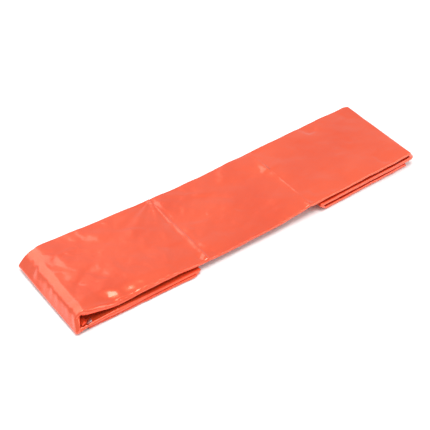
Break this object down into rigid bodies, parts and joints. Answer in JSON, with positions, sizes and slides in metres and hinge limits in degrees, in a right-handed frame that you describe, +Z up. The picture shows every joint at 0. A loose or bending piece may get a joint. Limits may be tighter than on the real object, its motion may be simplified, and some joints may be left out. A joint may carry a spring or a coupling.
{
  "type": "folded emergency survival bag",
  "caption": "Metallised film survival bag pleated to a flat strip, with both ends folded under in stacks; its creases unfold.",
  "frame": {"origin": "on the floor, under the middle of the folded strip", "axes": "+X along the strip to its right end, +Y across the strip to its open long edge, +Z up"},
  "size_m": [0.4568, 0.1138, 0.0202],
  "materials": {
    "orange_film": "glossy orange polyethylene film, finely crinkled",
    "silver_film": "bright vacuum-metallised inner side of the film, turned out at the mouth",
    "orange_film_edge": "doubled orange film, heat sealed and pressed flat"
  },
  "bodies": {
    "bridge": {"bridge_outer_ply": "orange_film", "bridge_inner_plies": "orange_film"},
    "left_bottom": {"left_bottom_outer_ply": "orange_film", "left_bottom_inner_plies": "orange_film", "left_foot_seal": "orange_film_edge", "left_mouth_hem": "silver_film"},
    "left_nose_fold": {"left_nose_fold_outer_ply": "orange_film", "left_nose_fold_inner_plies": "orange_film"},
    "left_middle": {"left_middle_outer_ply": "orange_film", "left_middle_inner_plies": "orange_film"},
    "left_end_fold": {"left_end_fold_outer_ply": "orange_film", "left_end_fold_inner_plies": "orange_film"},
    "left_top": {"left_top_outer_ply": "orange_film", "left_top_inner_plies": "orange_film"},
    "right_top": {"right_top_outer_ply": "orange_film", "right_top_inner_plies": "orange_film"},
    "right_end_fold": {"right_end_fold_outer_ply": "orange_film", "right_end_fold_inner_plies": "orange_film"},
    "right_middle": {"right_middle_outer_ply": "orange_film", "right_middle_inner_plies": "orange_film"},
    "right_nose_fold": {"right_nose_fold_outer_ply": "orange_film", "right_nose_fold_inner_plies": "orange_film"},
    "right_bottom": {"right_bottom_outer_ply": "orange_film", "right_bottom_inner_plies": "orange_film", "right_half_fold": "orange_film_edge"}
  },
  "joints": [
    {"name": "left_crease", "type": "hinge", "parent": "bridge", "child": "left_top", "pos_m": [-0.06316, 0, 0.01345], "axis": [0, 1, 0], "range_deg": [0, 90]},
    {"name": "left_end_unfold", "type": "hinge", "parent": "left_top", "child": "left_end_fold", "pos_m": [-0.21616, 0, 0.02025], "axis": [0, 1, 0], "range_deg": [0, 54.43]},
    {"name": "left_end_unfold_lower", "type": "hinge", "parent": "left_end_fold", "child": "left_middle", "pos_m": [-0.2285, 0, 0.00455], "axis": [0, 1, 0], "range_deg": [0, 128.17]},
    {"name": "left_nose_unfold_upper", "type": "hinge", "parent": "left_middle", "child": "left_nose_fold", "pos_m": [-0.07264, 0, 0.00875], "axis": [0, -1, 0], "range_deg": [0, 130.32]},
    {"name": "left_nose_unfold", "type": "hinge", "parent": "left_nose_fold", "child": "left_bottom", "pos_m": [-0.08033, 0, 0], "axis": [0, -1, 0], "range_deg": [0, 48.68]},
    {"name": "right_crease", "type": "hinge", "parent": "bridge", "child": "right_top", "pos_m": [0.07573, 0, 0.01695], "axis": [0, -1, 0], "range_deg": [0, 90]},
    {"name": "right_end_unfold", "type": "hinge", "parent": "right_top", "child": "right_end_fold", "pos_m": [0.22439, 0, 0.02024], "axis": [0, -1, 0], "range_deg": [0, 76.64]},
    {"name": "right_end_unfold_lower", "type": "hinge", "parent": "right_end_fold", "child": "right_middle", "pos_m": [0.22852, 0, 0.00448], "axis": [0, -1, 0], "range_deg": [0, 106.16]},
    {"name": "right_nose_unfold_upper", "type": "hinge", "parent": "right_middle", "child": "right_nose_fold", "pos_m": [0.08645, 0, 0.01234], "axis": [0, 1, 0], "range_deg": [0, 113.9]},
    {"name": "right_nose_unfold", "type": "hinge", "parent": "right_nose_fold", "child": "right_bottom", "pos_m": [0.09258, 0, 0], "axis": [0, 1, 0], "range_deg": [0, 63.58]}
  ],
  "couplings": [
    {"joint": "left_end_unfold_lower", "follows": "left_end_unfold", "ratio": 2.3547},
    {"joint": "left_nose_unfold_upper", "follows": "left_nose_unfold", "ratio": 2.677},
    {"joint": "right_end_unfold_lower", "follows": "right_end_unfold", "ratio": 1.3851},
    {"joint": "right_nose_unfold_upper", "follows": "right_nose_unfold", "ratio": 1.7915}
  ]
}
